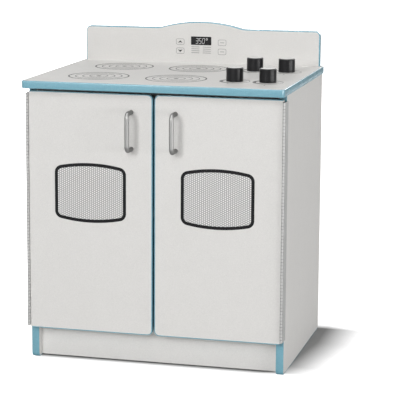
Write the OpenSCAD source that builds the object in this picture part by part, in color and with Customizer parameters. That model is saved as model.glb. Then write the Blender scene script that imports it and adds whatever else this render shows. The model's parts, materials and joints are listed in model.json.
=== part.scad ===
// Toy oven: a two-door play cooker cabinet of laminated board, in millimetres.
// It stands on the floor: +Z is up, the doors face -Y, and +X is to the right.

/* [Countertop] */
// Width of the countertop
top_w = 555; // [480:1:640]
// Depth of the countertop, front to back
top_d = 441; // [400:1:520]
// Height of the countertop's upper face above the floor
top_z = 601; // [560:1:680]
// Thickness of every laminated board
board_t = 16; // [15:0.5:19]
// Thickness of the coloured edge band
band_t = 2; // [1:0.5:3]
// Radius of the countertop's front corners
top_corner_r = 9; // [5:1:20]

/* [Cabinet] */
// How far the countertop reaches past each side panel
side_overhang = 3; // [2:0.5:8]
// How far the countertop reaches past the front edges of the side panels
front_overhang = 44; // [38:1:60]
// Radius of the side panels' lower front corner
foot_corner_r = 10; // [5:1:20]
// Height of the floor board's underside
deck_z = 68; // [60:1:80]
// How far the kick board stands back from the side panels' front edges
kick_setback = 17; // [10:1:40]
// Gap between the kick board and the floor
kick_gap = 3.6; // [2:0.2:8]
// Thickness of the back panel
back_t = 6; // [4:0.5:10]
// Height of the rail under the countertop
rail_h = 40; // [35:1:50]
// How far the rail stands back from the side panels' front edges
rail_setback = 16; // [14:1:30]
// Height of the inner shelf's underside
shelf_z = 320; // [250:1:380]
// How far the inner shelf stands back from the side panels' front edges
shelf_setback = 8; // [4:1:40]
// Clearance round the inner shelf
shelf_clear = 0.5; // [0.2:0.1:2]

/* [Backsplash] */
// Width of the backsplash
splash_w = 541; // [460:1:555]
// Height of its shoulders above the countertop
splash_h = 78; // [60:1:100]
// Rise of the middle arch above the shoulders
arch_rise = 14.5; // [8:0.5:25]
// Radius of the arch
arch_r = 330; // [250:5:450]
// Radius of the hollow curves that lead into the arch
arch_blend_r = 60; // [20:5:90]
// Radius of its upper corners
splash_corner_r = 10; // [5:1:20]

/* [Doors] */
// Gap between the countertop and the doors
door_top_gap = 7.5; // [4:0.5:12]
// Height of the doors' lower edges above the floor
door_z = 70; // [69:0.5:80]
// Gap between the two doors
door_mid_gap = 4.3; // [3:0.1:8]
// Gap between the doors' backs and the side panels' front edges
door_back_gap = 1; // [0.8:0.1:2]
// Radius of the corners where the doors meet
meeting_corner_r = 11; // [5:1:20]
// Radius of the corners on the hinge side
hinge_corner_r = 4; // [3:0.5:4.5]

/* [Piano hinges] */
// Thickness of the hinge leaves
leaf_t = 1.2; // [0.8:0.1:1.5]
// Diameter of the hinge pin
pin_d = 3.1; // [2.5:0.1:3.5]
// Radial clearance of the pin in the knuckles
pin_clear = 0.05; // [0.02:0.01:0.08]
// Length of one knuckle, before it is evened out along the hinge
knuckle_l = 6.9; // [5:0.1:14]
// Gap between neighbouring knuckles
knuckle_gap = 0.3; // [0.2:0.05:0.6]
// Clearance between a knuckle and the notch in the other leaf
notch_clear = 0.3; // [0.2:0.05:0.4]
// How far the hinge pin stands in front of the doors
hinge_proud = 3.3; // [3.2:0.1:4.5]
// Distance from the ends of a door to the ends of its hinge
hinge_end = 4.8; // [4.5:0.1:20]
// Width of the fixed leaf that lies on the side panel
leaf_lap = 10; // [9:0.5:16]
// Distance from the door leaf's edge to the back of the door
leaf_margin = 1; // [0:0.1:2]
// Number of screws in each leaf
leaf_screws = 6; // [4:1:10]
// Diameter of the hinge screws
leaf_screw_d = 3; // [2.5:0.1:3.5]
// Diameter of their countersunk heads
leaf_screw_head_d = 6; // [5:0.1:7]
// Length of the hinge screws
leaf_screw_l = 13; // [10:0.5:14]

/* [Handles] */
// Distance between the centres of a handle's two posts
handle_centres = 76.2; // [64:0.1:100]
// Diameter of the handle rod
handle_d = 9.5; // [8:0.1:12]
// Distance from the door's face to the centre of the grip
handle_reach = 33.25; // [28:0.05:40]
// Centre-line radius of the two bends
handle_bend_r = 10; // [7:0.5:14]
// Distance from the door's meeting edge to the handle
handle_inset = 45; // [40:0.5:70]
// How far the handle's middle lies below the door's top
handle_drop = 75.5; // [65:0.5:140]
// Diameter of the handle screws
handle_screw_d = 4; // [3:0.1:5]
// Diameter of their pan heads
handle_screw_head_d = 8; // [7:0.1:10]
// Height of their pan heads
handle_screw_head_h = 2.4; // [1.5:0.1:3]
// How far the handle screws reach into the posts
handle_screw_grip = 10; // [8:0.5:14]

/* [Catches] */
// Distance from the middle of the cabinet to each catch
catch_x = 24; // [20:1:27]
// How far the catches' middles lie below the middle of the rail
catch_drop = 2; // [0:0.5:6]
// Width of the catch housing
catch_w = 30; // [28:1:34]
// Height of the catch housing
catch_h = 18; // [16:1:22]
// Width of the magnet
magnet_w = 20; // [16:1:24]
// Height of the magnet
magnet_h = 8; // [6:1:12]
// Length of the magnet, front to back
magnet_l = 11; // [8:0.5:12]
// How far the magnet stands out of its housing
magnet_proud = 1.2; // [0.6:0.1:2]
// Gap between the magnet and its strike plate
magnet_gap = 0.3; // [0.3:0.1:1]
// Thickness of the strike plate on the door
strike_t = 0.7; // [0.5:0.1:0.7]
// Width of the strike plate
strike_w = 28; // [22:1:32]
// Height of the strike plate
strike_h = 12; // [10:1:16]
// Radius of the strike plate's corners
strike_r = 1.5; // [0.5:0.1:4]
// Diameter of the hole in the strike plate
strike_hole_d = 3.2; // [3:0.1:4]

/* [Window print] */
// Width of the printed oven window on each door
window_w = 155; // [120:1:180]
// Height of the window at its middle
window_h = 126; // [100:1:150]
// Radius of the window's arched head and foot
window_arch_r = 320; // [250:5:450]
// Radius of the window's corners
window_corner_r = 10; // [8:0.5:16]
// Width of the window's black border
window_line = 6; // [3:0.5:7]
// How far the window's middle lies below the door's top
window_drop = 210.5; // [190:0.5:250]
// Thickness of the printed films
film_t = 0.2; // [0.1:0.05:0.3]

/* [Cooktop print] */
// Radius of a burner's outer ring
burner_r = 65; // [50:1:70]
// Distance from each ring to the next one in
burner_step = 15; // [10:0.5:16]
// Number of rings in a burner
burner_rings = 4; // [3:1:4]
// Width of a burner's outer line
burner_rim = 3; // [1:0.1:4]
// Width of its inner lines
burner_line = 1.7; // [0.8:0.1:2.5]
// Radius of the dot in the middle of a burner
burner_dot_r = 5; // [3:0.5:8]
// Distance between the centres of the left and the right burners
burner_pitch = 169; // [160:1:180]
// Share of the countertop's spare width that lies to the left of the burners
burner_left_share = 0.68; // [0.4:0.01:0.9]
// Distance of the front burners from the countertop's front edge
burner_front_y = 124; // [110:1:150]
// Distance of the rear burners from the countertop's front edge
burner_rear_y = 314; // [290:1:340]

/* [Knobs] */
// Diameter of the knobs
knob_d = 35.5; // [28:0.5:40]
// Height of the knobs
knob_h = 28.5; // [24:0.5:34]
// Gap between a knob and the countertop
knob_gap = 0.4; // [0.3:0.1:1]
// Distance of the right knobs from the countertop's right end
knob_inset = 57.5; // [45:0.5:70]
// Distance between the left and the right knobs
knob_pitch = 70; // [65:1:80]
// Distance of the front knobs from the countertop's front edge
knob_front_y = 114; // [90:1:140]
// Distance of the rear knobs from the countertop's front edge
knob_rear_y = 309; // [280:1:340]
// Rounding of a knob's upper edge
knob_edge_r = 2.2; // [0.5:0.1:2.6]
// Width of the dark rim round a knob's cap
knob_rim = 2.8; // [2.8:0.1:5]
// Thickness of a knob's cap
cap_t = 1.2; // [0.8:0.1:2]
// Room under a knob's cap, above the bolt's head
cap_room = 1.5; // [0.5:0.1:3]
// Diameter of a knob's spindle bolt
spindle_d = 6; // [5:0.1:8]
// Radial clearance of the spindle in its bushing and knob
spindle_clear = 0.05; // [0.02:0.01:0.08]
// Diameter of the bushing's flange
flange_d = 18; // [14:0.5:20]
// Height of the bushing's flange
flange_h = 1.2; // [0.8:0.1:2]
// Room for the flange in the knob's recess, above and around it
flange_room = 1; // [0.6:0.1:1.5]
// Wall of the bushing
bushing_wall = 2; // [1.5:0.1:3]
// Radius of the printed dial ring
dial_r = 32; // [26:0.5:34]
// Width of the dial ring at its thinnest
dial_line = 0.9; // [0.6:0.1:1.5]
// How much wider the dial's wedge is at its widest
dial_wedge = 6; // [3:0.5:8]
// Radius of the round mark in front of each dial
mark_r = 1.7; // [1:0.1:3]
// How far the left knobs' marks lie to the left of the knobs' middles
left_mark_x = 6.5; // [0:0.5:15]
// How far they lie in front of the knobs' middles
left_mark_y = 39; // [36:0.5:60]
// How far the right knobs' marks lie to the right of the knobs' middles
right_mark_x = 3.5; // [0:0.5:15]
// How far they lie in front of the knobs' middles
right_mark_y = 51; // [36:0.5:60]

/* [Control panel print] */
// Width of the dark display
display_w = 47; // [40:1:60]
// Height of the dark display
display_h = 19; // [14:0.5:24]
// Radius of the display's corners
display_r = 1; // [0.5:0.1:3]
// Height of the display's middle above the countertop
display_up = 50; // [44:0.5:54]
// Distance of the printed keys from the display's middle
key_x = 48.5; // [44:0.5:60]
// Width of a printed key
key_w = 19; // [15:0.5:24]
// Height of a printed key
key_h = 13.5; // [10:0.5:15]
// Distance between the two keys of a column
key_pitch = 20.5; // [18:0.5:24]
// How far the upper keys' middles lie below the display's middle
key_drop = 3; // [0:0.5:6]
// Width of the arrow heads in the left keys
arrow_w = 11; // [6:0.5:14]
// Height of the arrow heads
arrow_h = 5.8; // [3:0.1:8]
// Width of the keys' outline
key_line = 0.8; // [0.5:0.1:1.5]
// Radius of the keys' corners
key_r = 3.5; // [2:0.5:5]
// Length of the bars under the display
bar_w = 18.5; // [10:0.5:22]
// Thickness of the bars
bar_t = 1.2; // [0.6:0.1:2]
// Distance from one bar to the next one down
bar_pitch = 4.4; // [3:0.1:6]
// Number of bars in each of the two columns
bar_rows = 4; // [1:1:4]

/* [Joinery] */
// Diameter of the dowels
dowel_d = 8; // [6:0.5:10]
// How far a dowel reaches into the board that it meets face on
dowel_face = 10; // [8:0.5:12]
// How far a dowel reaches into the edge of the other board
dowel_edge = 18; // [14:1:25]
// Distance of the outer dowels from the ends of a joint
dowel_margin = 60; // [40:1:80]
// Radial clearance of dowels, pins and screws in their holes
hole_clear = 0.05; // [0.02:0.01:0.1]
// Diameter of the shelf pins
shelf_pin_d = 5; // [4:0.5:6]
// How far a shelf pin reaches into the side panel, and out of it
shelf_pin_l = 9; // [6:0.5:12]
// Diameter of the backsplash screws
splash_screw_d = 4.4; // [3.5:0.1:5.5]
// Diameter of their countersunk heads
splash_screw_head_d = 9; // [7:0.1:10]
// Length of the backsplash screws
splash_screw_l = 50; // [40:1:60]
// Distance of the outer backsplash screws from the middle
splash_screw_x = 215; // [150:1:220]

/* [Hidden] */
$fn = 64;
// Cuts reach this far past the faces that they go through
eps = 1;
// Facets of the widest circles
fine = 96;

laminate = [0.86, 0.855, 0.845];
teal = [0.45, 0.68, 0.75];
nickel = [0.62, 0.62, 0.61];
black = [0.07, 0.07, 0.08];

// Plan positions count from the countertop's front edge, at y = 0.
under_z = top_z - board_t;
side_x = top_w / 2 - side_overhang;
inner_x = side_x - board_t;
door_back_y = front_overhang - door_back_gap;
door_front_y = door_back_y - board_t;
grip_y = door_front_y - handle_reach;
depth_mid = (top_d + min(0, grip_y - handle_d / 2)) / 2;
back_y = top_d - back_t;
rail_y = front_overhang + rail_setback;
kick_y = front_overhang + kick_setback;
deck_top_z = deck_z + board_t;
splash_y = top_d - board_t;

// The hinge: the fixed leaf lies on the side panel, the door leaf on the door's edge,
// and both are tangent to the knuckles.
knuckle_r = pin_d / 2 + pin_clear + leaf_t;
axis_x = side_x + leaf_t - knuckle_r;
axis_y = door_front_y - hinge_proud;
door_x = axis_x - knuckle_r;
door_top_z = under_z - door_top_gap;
hinge_z = door_z + hinge_end;
hinge_l = door_top_z - door_z - 2 * hinge_end;
knuckles = 2 * floor(hinge_l / knuckle_l / 2) + 1;
knuckle_pitch = hinge_l / knuckles;

door_w = door_x - door_mid_gap / 2;
door_mid_x = door_mid_gap / 2 + door_w / 2;
handle_x = door_mid_gap / 2 + handle_inset;
handle_z = door_top_z - handle_drop;
window_z = door_top_z - window_drop;

catch_mid_z = under_z - rail_h / 2 - catch_drop;
magnet_y = door_back_y + strike_t + magnet_gap;
catch_y = magnet_y + magnet_proud;

knob_right_x = top_w / 2 - knob_inset;
knob_left_x = knob_right_x - knob_pitch;
spare_w = top_w / 2 + knob_left_x - dial_r - burner_pitch - 2 * burner_r;
burner_left_x = -top_w / 2 + burner_left_share * spare_w + burner_r;
burner_right_x = burner_left_x + burner_pitch;
knob_places = [
    [knob_left_x, knob_front_y], [knob_right_x, knob_front_y],
    [knob_left_x, knob_rear_y], [knob_right_x, knob_rear_y]
];
burner_places = [
    [burner_left_x, burner_front_y], [burner_right_x, burner_front_y],
    [burner_left_x, burner_rear_y], [burner_right_x, burner_rear_y]
];
cap_r = knob_d / 2 - knob_rim;
spindle_bore_r = spindle_d / 2 + spindle_clear;
bushing_r = spindle_bore_r + bushing_wall;

// The spindle bolt, its nut and its washer follow the usual proportions of hexagon bolts.
bolt_head_h = spindle_d * 0.65;
nut_h = spindle_d * 0.85;
hex_r = spindle_d * 0.95;
washer_r = spindle_d * 1.05;
washer_t = spindle_d * 0.25;
bolt_seat_z = knob_h - cap_t - cap_room - bolt_head_h;
// Play of the washer under the countertop, gap between washer and nut, and thread past it
axial_play = 0.3;
nut_gap = 0.05;
thread_end = 1;

// Moves the plan so that the origin lies under the middle of the whole object
module placed() {
    translate([0, -depth_mid, 0]) children();
}

// Draws the left-hand twin of a right-hand piece
module on_side(s) {
    if (s > 0) children();
    else mirror([1, 0, 0]) children();
}

// Extrudes an outline drawn in X and Z from y0 backwards
module upright(y0, t) {
    translate([0, y0 + t, 0]) rotate([90, 0, 0]) linear_extrude(t) children();
}

// What rounding removes from the corner at [x, y], where sx and sy point into the outline
module corner_cut(x, y, sx, sy, r) {
    difference() {
        translate([x + sx * (r - eps) / 2, y + sy * (r - eps) / 2])
            square([r + eps, r + eps], center = true);
        translate([x + sx * r, y + sy * r]) circle(r);
    }
}

// Countertop outline, drawn in by t at the front and sides
module top_outline(t) {
    w = top_w / 2 - t;
    r = top_corner_r - t;
    difference() {
        translate([-w, t]) square([2 * w, top_d - t]);
        corner_cut(-w, t, 1, 1, r);
        corner_cut(w, t, -1, 1, r);
    }
}

// Side panel outline in depth and height, drawn in by t at the front and foot
module side_outline(t) {
    difference() {
        translate([front_overhang + t, t]) square([top_d - front_overhang - t, under_z - t]);
        corner_cut(front_overhang + t, t, 1, 1, foot_corner_r - t);
    }
}

// Right door outline in width and height, drawn in by t except on the hinge side
module door_outline(t) {
    x0 = door_mid_gap / 2 + t;
    z0 = door_z + t;
    z1 = door_top_z - t;
    difference() {
        translate([x0, z0]) square([door_x - x0, z1 - z0]);
        corner_cut(x0, z0, 1, 1, meeting_corner_r - t);
        corner_cut(x0, z1, 1, -1, meeting_corner_r - t);
        corner_cut(door_x, door_z, -1, 1, hinge_corner_r);
        corner_cut(door_x, door_top_z, -1, -1, hinge_corner_r);
    }
}

// Points of an arc about c, from angle a0 to angle a1
function arc(c, r, a0, a1, steps) =
    [for (i = [0 : steps]) c + r * [cos(a0 + (a1 - a0) * i / steps),
        sin(a0 + (a1 - a0) * i / steps)]];

// The same points mirrored to the left and in the opposite order
function left_twin(points) =
    [for (i = [len(points) - 1 : -1 : 0]) [-points[i][0], points[i][1]]];

// Backsplash outline above the countertop, drawn in by t at the sides and top: upper
// corner, hollow curve and half of the arch, then the same mirrored
module splash_outline(t) {
    w = splash_w / 2 - t;
    h = splash_h - t;
    r = splash_corner_r - t;
    centre_z = splash_h + arch_rise - arch_r;
    blend_z = splash_h + arch_blend_r;
    reach = arch_r + arch_blend_r;
    blend_x = sqrt(reach * reach - pow(blend_z - centre_z, 2));
    meet = atan2(blend_z - centre_z, blend_x);
    right = concat(
        [[w, 0]],
        arc([w - r, h - r], r, 0, 90, 6),
        arc([blend_x, blend_z], arch_blend_r + t, -90, meet - 180, 6),
        arc([0, centre_z], arch_r - t, meet, 90, 12)
    );
    polygon(concat(right, left_twin(right)));
}

// Window outline about its own middle, drawn in by t: the upper right quarter is a side,
// a corner and half of the arched head
module window_outline(t) {
    w = window_w / 2 - t;
    r = window_corner_r - t;
    big_r = window_arch_r - t;
    centre_z = window_h / 2 - window_arch_r;
    reach = big_r - r;
    corner = [w - r, centre_z + sqrt(reach * reach - pow(w - r, 2))];
    meet = atan2(corner[1] - centre_z, corner[0]);
    quarter = concat(arc(corner, r, 0, meet, 6), arc([0, centre_z], big_r, meet, 90, 8));
    upper = concat(quarter, left_twin(quarter));
    polygon(concat(upper, [for (p = upper) -p]));
}

// Dowels of the carcass; grow is the clearance when they are cut as holes
module dowels(grow) {
    r = dowel_d / 2 + grow;
    mid_x = side_x - board_t / 2;
    front = front_overhang + dowel_margin;
    rear = back_y - dowel_margin;
    for (s = [-1, 1]) {
        for (y = [front, rear]) {
            translate([s * mid_x, y, under_z - dowel_edge - grow])
                cylinder(h = dowel_edge + dowel_face + 2 * grow, r = r);
            side_dowel(s, y, deck_z + board_t / 2, r, grow);
        }
        side_dowel(s, rail_y + board_t / 2, under_z - rail_h / 2, r, grow);
        side_dowel(s, kick_y + board_t / 2, (kick_gap + deck_z) / 2, r, grow);
    }
}

// One dowel across the face of a side panel
module side_dowel(s, y, z, r, grow) {
    translate([s * (inner_x - dowel_edge - grow), y, z]) rotate([0, s * 90, 0])
        cylinder(h = dowel_edge + dowel_face + 2 * grow, r = r);
}

// Shelf pins of both sides; grow is the clearance when they are cut as holes
module pins(grow) {
    r = shelf_pin_d / 2 + grow;
    for (s = [-1, 1], y = [front_overhang + dowel_margin, back_y - dowel_margin])
        translate([s * (inner_x - shelf_pin_l), y, shelf_z - shelf_pin_d / 2])
            rotate([0, s * 90, 0]) cylinder(h = 2 * shelf_pin_l + grow, r = r);
}

// A countersunk screw whose flat head lies at z = 0 and whose shank points down
module flat_screw(d, head_d, head_h, l, grow) {
    translate([0, 0, -head_h]) cylinder(h = head_h, r1 = d / 2 + grow, r2 = head_d / 2 + grow);
    translate([0, 0, -l - grow]) cylinder(h = l - head_h + 2 * grow, r = d / 2 + grow);
}

// Heights of the hinge screws
function screw_z(i) = hinge_z + hinge_l * (i + 0.5) / leaf_screws;

// Screws that hold the right fixed leaf on the side panel
module fixed_screws(grow) {
    for (i = [0 : leaf_screws - 1])
        translate([side_x + leaf_t, front_overhang + (leaf_lap + band_t) / 2, screw_z(i)])
            rotate([0, 90, 0]) flat_screw(leaf_screw_d, leaf_screw_head_d, leaf_t,
                leaf_screw_l, grow);
}

// Screws that hold the right door leaf on the door's edge
module door_screws(grow) {
    for (i = [0 : leaf_screws - 1])
        translate([door_x + leaf_t, door_front_y + board_t / 2, screw_z(i)])
            rotate([0, 90, 0]) flat_screw(leaf_screw_d, leaf_screw_head_d, leaf_t,
                leaf_screw_l, grow);
}

// A hinge leaf that keeps every second knuckle, from first on: the plate lies between
// x and x + leaf_t and reaches back to y1
module hinge_leaf(x, y1, first) {
    notch = knuckle_r + notch_clear;
    difference() {
        translate([0, 0, hinge_z]) linear_extrude(hinge_l) {
            translate([axis_x, axis_y]) circle(knuckle_r);
            translate([x, axis_y]) square([leaf_t, y1 - axis_y]);
        }
        for (i = [1 - first : 2 : knuckles - 1])
            translate([axis_x - notch, axis_y - notch,
                hinge_z + i * knuckle_pitch - knuckle_gap / 2])
                cube([2 * notch, 2 * notch, knuckle_pitch + knuckle_gap]);
        translate([axis_x, axis_y, hinge_z - eps])
            cylinder(h = hinge_l + 2 * eps, r = pin_d / 2 + pin_clear);
    }
}

module side_panel(s) {
    color(laminate) placed() difference() {
        translate([s > 0 ? inner_x : -side_x, 0, 0]) rotate([90, 0, 90])
            linear_extrude(board_t) side_outline(band_t);
        dowels(hole_clear);
        pins(hole_clear);
        on_side(s) fixed_screws(hole_clear);
    }
}

module side_edge_band(s) {
    color(teal) placed() translate([s > 0 ? inner_x : -side_x, 0, 0]) rotate([90, 0, 90])
        linear_extrude(board_t) difference() {
            side_outline(0);
            side_outline(band_t);
        }
}

module floor_board() {
    color(laminate) placed() difference() {
        translate([-inner_x, front_overhang, deck_z])
            cube([2 * inner_x, back_y - front_overhang, board_t]);
        dowels(hole_clear);
    }
}

module inner_shelf() {
    y0 = front_overhang + shelf_setback;
    color(laminate) placed() translate([-inner_x + shelf_clear, y0, shelf_z])
        cube([2 * (inner_x - shelf_clear), back_y - shelf_clear - y0, board_t]);
}

module shelf_pins() {
    color(nickel) placed() pins(0);
}

module back_panel() {
    color(laminate) placed() translate([-inner_x, back_y, kick_gap])
        cube([2 * inner_x, back_t, under_z - kick_gap]);
}

module kick_board() {
    color(laminate) placed() difference() {
        translate([-inner_x, kick_y, kick_gap]) cube([2 * inner_x, board_t, deck_z - kick_gap]);
        dowels(hole_clear);
    }
}

module front_rail() {
    color(laminate) placed() difference() {
        translate([-inner_x, rail_y, under_z - rail_h]) cube([2 * inner_x, board_t, rail_h]);
        dowels(hole_clear);
    }
}

module carcass_dowels() {
    color("burlywood") placed() dowels(0);
}

module countertop() {
    color(laminate) placed() difference() {
        translate([0, 0, under_z]) linear_extrude(board_t) top_outline(band_t);
        dowels(hole_clear);
        splash_fixings(hole_clear);
        for (p = knob_places) translate([p[0], p[1], under_z - eps])
            cylinder(h = board_t + 2 * eps, r = bushing_r + hole_clear);
    }
}

module countertop_edge_band() {
    color(teal) placed() translate([0, 0, under_z]) linear_extrude(board_t) difference() {
        top_outline(0);
        top_outline(band_t);
    }
}

module backsplash() {
    color(laminate) placed() difference() {
        translate([0, 0, top_z]) upright(splash_y, board_t) splash_outline(band_t);
        splash_fixings(hole_clear);
    }
}

module backsplash_edge_band() {
    color(teal) placed() translate([0, 0, top_z]) upright(splash_y, board_t) difference() {
        splash_outline(0);
        splash_outline(band_t);
    }
}

// Screws that rise through the countertop into the backsplash
module splash_fixings(grow) {
    for (x = [-splash_screw_x, 0, splash_screw_x])
        translate([x, splash_y + board_t / 2, under_z]) rotate([180, 0, 0])
            flat_screw(splash_screw_d, splash_screw_head_d,
                (splash_screw_head_d - splash_screw_d) / 2, splash_screw_l, grow);
}

module backsplash_screws() {
    color(nickel) placed() splash_fixings(0);
}

module hinge_fixed_leaf(s) {
    color(nickel) placed() on_side(s) difference() {
        hinge_leaf(side_x, front_overhang + leaf_lap, 0);
        fixed_screws(hole_clear);
    }
}

module fixed_leaf_screws() {
    color(nickel) placed() for (s = [-1, 1]) on_side(s) fixed_screws(0);
}

// The space that one magnet takes
module magnet(grow) {
    translate([catch_x - magnet_w / 2 - grow, magnet_y, catch_mid_z - magnet_h / 2 - grow])
        cube([magnet_w + 2 * grow, magnet_l + grow, magnet_h + 2 * grow]);
}

module catch_housing(s) {
    color([0.9, 0.9, 0.88]) placed() on_side(s) difference() {
        translate([catch_x - catch_w / 2, catch_y, catch_mid_z - catch_h / 2])
            cube([catch_w, rail_y - catch_y, catch_h]);
        magnet(hole_clear);
    }
}

module catch_magnets() {
    color([0.3, 0.3, 0.32]) placed() for (s = [-1, 1]) on_side(s) magnet(0);
}

module knob_bushings() {
    color([0.88, 0.88, 0.85]) placed() for (p = knob_places)
        translate([p[0], p[1], 0]) difference() {
            union() {
                translate([0, 0, under_z]) cylinder(h = board_t, r = bushing_r);
                translate([0, 0, top_z]) cylinder(h = flange_h, r = flange_d / 2);
            }
            translate([0, 0, under_z - eps])
                cylinder(h = board_t + flange_h + 2 * eps, r = spindle_bore_r);
        }
}

module ring(r, w) {
    difference() {
        circle(r, $fn = fine);
        circle(r - w, $fn = fine);
    }
}

module burner_prints() {
    color([0.45, 0.45, 0.46]) placed() for (p = burner_places)
        translate([p[0], p[1], top_z]) linear_extrude(film_t) {
            ring(burner_r, burner_rim);
            for (i = [1 : burner_rings - 1]) ring(burner_r - i * burner_step, burner_line);
            circle(burner_dot_r);
        }
}

module dial_prints() {
    lean = dial_wedge / 2;
    marks = [[-left_mark_x, -left_mark_y], [right_mark_x, -right_mark_y]];
    color([0.2, 0.2, 0.21]) placed() for (i = [0 : len(knob_places) - 1])
        translate([knob_places[i][0], knob_places[i][1], top_z]) linear_extrude(film_t) {
            difference() {
                circle(dial_r, $fn = fine);
                translate([lean, 0]) circle(dial_r - dial_line - lean, $fn = fine);
            }
            translate(marks[i % 2]) circle(mark_r);
        }
}

// A rectangle with round corners, about its middle
module soft_rect(w, h, r) {
    difference() {
        square([w, h], center = true);
        for (sx = [-1, 1], sy = [-1, 1])
            corner_cut(sx * w / 2, sy * h / 2, -sx, -sy, r);
    }
}

// Places an outline on the face of the backsplash, x and z from the display's middle
module on_splash(x, z) {
    upright(splash_y - film_t, film_t) translate([x, top_z + display_up + z]) children();
}

// How far the keys of a row lie above the display's middle
function key_up(row) = -key_drop - row * key_pitch;

// The black print: the display, and an arrow head in each left key
module control_display() {
    color(black) placed() {
        on_splash(0, 0) soft_rect(display_w, display_h, display_r);
        for (row = [0, 1]) on_splash(-key_x, key_up(row)) mirror([0, row]) arrow_head();
    }
}

// The grey print: outlines of four keys, a dash in the right ones, and rows of plain bars
// under the display
module control_print() {
    color([0.55, 0.55, 0.56]) placed() {
        for (row = [0, 1]) {
            for (s = [-1, 1]) on_splash(s * key_x, key_up(row)) difference() {
                soft_rect(key_w, key_h, key_r);
                soft_rect(key_w - 2 * key_line, key_h - 2 * key_line, key_r - key_line);
            }
            on_splash(key_x, key_up(row)) square([key_w / 2, bar_t], center = true);
        }
        for (s = [-1, 1], row = [1 : bar_rows])
            on_splash(s * (display_w / 2 - bar_w / 2 - display_r), -display_h / 2 - row * bar_pitch)
                square([bar_w, bar_t], center = true);
    }
}

// A notched arrow head that points up, about its own middle
module arrow_head() {
    notch_z = -arrow_h / 6;
    polygon([[-arrow_w / 2, -arrow_h / 2], [0, notch_z], [arrow_w / 2, -arrow_h / 2],
        [0, arrow_h / 2]]);
}

// Handle screws of the right door, with their heads behind it
module handle_fixings(grow) {
    for (s = [-1, 1]) translate([handle_x, 0, handle_z + s * handle_centres / 2]) {
        translate([0, door_front_y - handle_screw_grip - grow, 0]) rotate([-90, 0, 0])
            cylinder(h = board_t + handle_screw_grip + 2 * grow, r = handle_screw_d / 2 + grow);
        translate([0, door_back_y, 0]) rotate([-90, 0, 0])
            cylinder(h = handle_screw_head_h, r = handle_screw_head_d / 2);
    }
}

module door_panel(s) {
    color(laminate) placed() on_side(s) difference() {
        upright(door_front_y, board_t) door_outline(band_t);
        handle_fixings(hole_clear);
        door_screws(hole_clear);
    }
}

module door_edge_band(s) {
    color(teal) placed() on_side(s) upright(door_front_y, board_t) difference() {
        door_outline(0);
        door_outline(band_t);
    }
}

module window_border(s) {
    color(black) placed() on_side(s) upright(door_front_y - film_t, film_t)
        translate([door_mid_x, window_z]) difference() {
            window_outline(0);
            window_outline(window_line);
        }
}

module window_screen(s) {
    color([0.7, 0.7, 0.7]) placed() on_side(s) upright(door_front_y - film_t / 2, film_t / 2)
        translate([door_mid_x, window_z]) window_outline(window_line);
}

// One bend of the handle, from the post at z = 0 into the grip
module handle_bend() {
    translate([0, 0, -handle_bend_r]) rotate([90, 0, -90])
        rotate_extrude(angle = 90) translate([handle_bend_r, 0]) circle(handle_d / 2);
}

module handle(s) {
    half = handle_centres / 2;
    post = handle_reach - handle_bend_r;
    color(nickel) placed() on_side(s) difference() {
        translate([handle_x, 0, handle_z]) {
            translate([0, grip_y, -half + handle_bend_r])
                cylinder(h = 2 * (half - handle_bend_r), r = handle_d / 2);
            for (m = [0, 1]) mirror([0, 0, m]) translate([0, 0, half]) {
                translate([0, door_front_y, 0]) rotate([90, 0, 0])
                    cylinder(h = post, r = handle_d / 2);
                translate([0, grip_y + handle_bend_r, 0]) handle_bend();
            }
        }
        handle_fixings(hole_clear);
    }
}

module handle_screws(s) {
    color(nickel) placed() on_side(s) handle_fixings(0);
}

module hinge_door_leaf(s) {
    color(nickel) placed() on_side(s) difference() {
        hinge_leaf(door_x, door_back_y - leaf_margin, 1);
        door_screws(hole_clear);
    }
}

module hinge_pin(s) {
    color([0.75, 0.75, 0.74]) placed() on_side(s) translate([axis_x, axis_y, hinge_z])
        cylinder(h = hinge_l, r = pin_d / 2);
}

module door_leaf_screws(s) {
    color(nickel) placed() on_side(s) door_screws(0);
}

module strike_plate(s) {
    color(nickel) placed() on_side(s) difference() {
        upright(door_back_y, strike_t) translate([catch_x, catch_mid_z])
            soft_rect(strike_w, strike_h, strike_r);
        translate([catch_x, door_back_y - eps, catch_mid_z]) rotate([-90, 0, 0])
            cylinder(h = strike_t + 2 * eps, r = strike_hole_d / 2);
    }
}

// Puts a piece of a knob on the countertop at one of the knob places
module at_knob(i) {
    placed() translate([knob_places[i][0], knob_places[i][1], top_z + knob_gap]) children();
}

module knob(i) {
    r = knob_d / 2;
    shoulder_z = knob_h - knob_edge_r;
    recess_h = flange_h + flange_room - knob_gap;
    color(black) at_knob(i) difference() {
        rotate_extrude($fn = fine) {
            square([r, shoulder_z]);
            translate([0, shoulder_z]) square([r - knob_edge_r, knob_edge_r]);
            translate([r - knob_edge_r, shoulder_z]) circle(knob_edge_r, $fn = 32);
        }
        translate([0, 0, -eps]) {
            cylinder(h = knob_h + 2 * eps, r = spindle_bore_r);
            cylinder(h = recess_h + eps, r = flange_d / 2 + flange_room);
        }
        translate([0, 0, bolt_seat_z]) cylinder(h = knob_h, r = hex_r + flange_room);
        translate([0, 0, knob_h - cap_t]) cylinder(h = knob_h, r = cap_r);
    }
}

module knob_cap(i) {
    color([0.72, 0.72, 0.7]) at_knob(i) translate([0, 0, knob_h - cap_t])
        cylinder(h = cap_t, r = cap_r - hole_clear, $fn = fine);
}

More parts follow.
